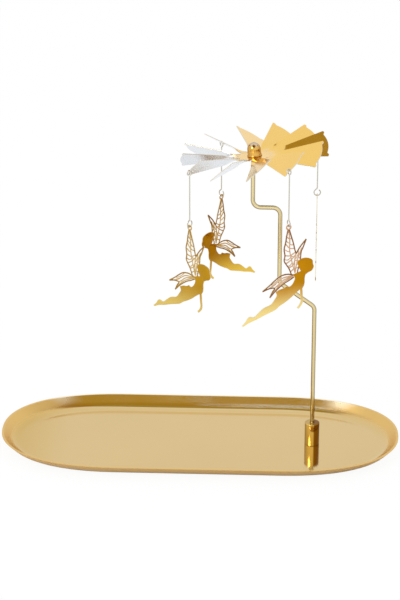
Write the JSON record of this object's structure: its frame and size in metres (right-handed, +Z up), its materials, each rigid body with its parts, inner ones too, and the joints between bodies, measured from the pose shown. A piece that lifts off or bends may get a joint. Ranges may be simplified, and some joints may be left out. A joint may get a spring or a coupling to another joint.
{
  "type": "angel chime carousel",
  "caption": "Candle-heat carousel: a long oval gold tray with a bent rod carrying a fan wheel on a needle point, with flying figures hung from wire hangers.",
  "frame": {"origin": "middle of the tray's flat underside, which rests on the table", "axes": "+X along the tray towards the rod socket (right in the picture), +Y away from the viewer of the picture, +Z up along the wheel's needle"},
  "size_m": [0.19, 0.0844, 0.1578],
  "materials": {
    "tray_gold": "polished gold plating",
    "rod_gold": "polished pale gold plating",
    "socket_brass": "turned bright brass",
    "wheel_sheet": "polished, gold above and silver grey below",
    "cap_gold": "polished gold plating",
    "fairy_gold": "etched sheet, polished amber gold",
    "hanger_wire": "bright nickel wire",
    "screw_steel": "zinc plated"
  },
  "bodies": {
    "stand": {"tray": "tray_gold", "tray_screw": "screw_steel", "rod_socket": "socket_brass", "rod": "rod_gold"},
    "rotor": {"fan_wheel": "wheel_sheet", "bearing_cap": "cap_gold"},
    "hanger_far_right": {"hanger_far_right": "hanger_wire"},
    "fairy_far_right": {"fairy_far_right": "fairy_gold"},
    "hanger_far_left": {"hanger_far_left": "hanger_wire"},
    "fairy_far_left": {"fairy_far_left": "fairy_gold"},
    "hanger_near_left": {"hanger_near_left": "hanger_wire"},
    "fairy_near_left": {"fairy_near_left": "fairy_gold"},
    "hanger_near_right": {"hanger_near_right": "hanger_wire"},
    "fairy_near_right": {"fairy_near_right": "fairy_gold"}
  },
  "joints": [
    {"name": "rotor_spin", "type": "hinge", "parent": "stand", "child": "rotor", "pos_m": [0.0244, 0, 0.1529], "axis": [0, 0, 1], "continuous": true},
    {"name": "hanger_swing_far_right", "type": "hinge", "parent": "rotor", "child": "hanger_far_right", "pos_m": [0.054, 0.01595, 0.14856], "axis": [0.5842, -0.8116, 0], "range_deg": [-12, 18]},
    {"name": "fairy_swing_far_right", "type": "hinge", "parent": "hanger_far_right", "child": "fairy_far_right", "pos_m": [0.054, 0.01595, 0.1219], "axis": [-1, 0.0062, 0], "range_deg": [-30, 30]},
    {"name": "hanger_swing_far_left", "type": "hinge", "parent": "rotor", "child": "hanger_far_left", "pos_m": [0.00893, 0.02837, 0.14264], "axis": [0.8187, 0.5742, 0], "range_deg": [-12, 18]},
    {"name": "fairy_swing_far_left", "type": "hinge", "parent": "hanger_far_left", "child": "fairy_far_left", "pos_m": [0.00893, 0.02837, 0.11598], "axis": [-0.7076, 0.7066, 0], "range_deg": [-30, 30]},
    {"name": "hanger_swing_near_left", "type": "hinge", "parent": "rotor", "child": "hanger_near_left", "pos_m": [-0.00384, -0.01693, 0.14485], "axis": [-0.5675, 0.8234, 0], "range_deg": [-12, 18]},
    {"name": "fairy_swing_near_left", "type": "hinge", "parent": "hanger_near_left", "child": "fairy_near_left", "pos_m": [-0.00384, -0.01693, 0.11819], "axis": [-0.6215, -0.7834, 0], "range_deg": [-30, 30]},
    {"name": "hanger_swing_near_right", "type": "hinge", "parent": "rotor", "child": "hanger_near_right", "pos_m": [0.04123, -0.02935, 0.15076], "axis": [-0.8228, -0.5683, 0], "range_deg": [-12, 18]},
    {"name": "fairy_swing_near_right", "type": "hinge", "parent": "hanger_near_right", "child": "fairy_near_right", "pos_m": [0.04123, -0.02935, 0.1241], "axis": [0.4168, -0.909, 0], "range_deg": [-30, 30]}
  ]
}
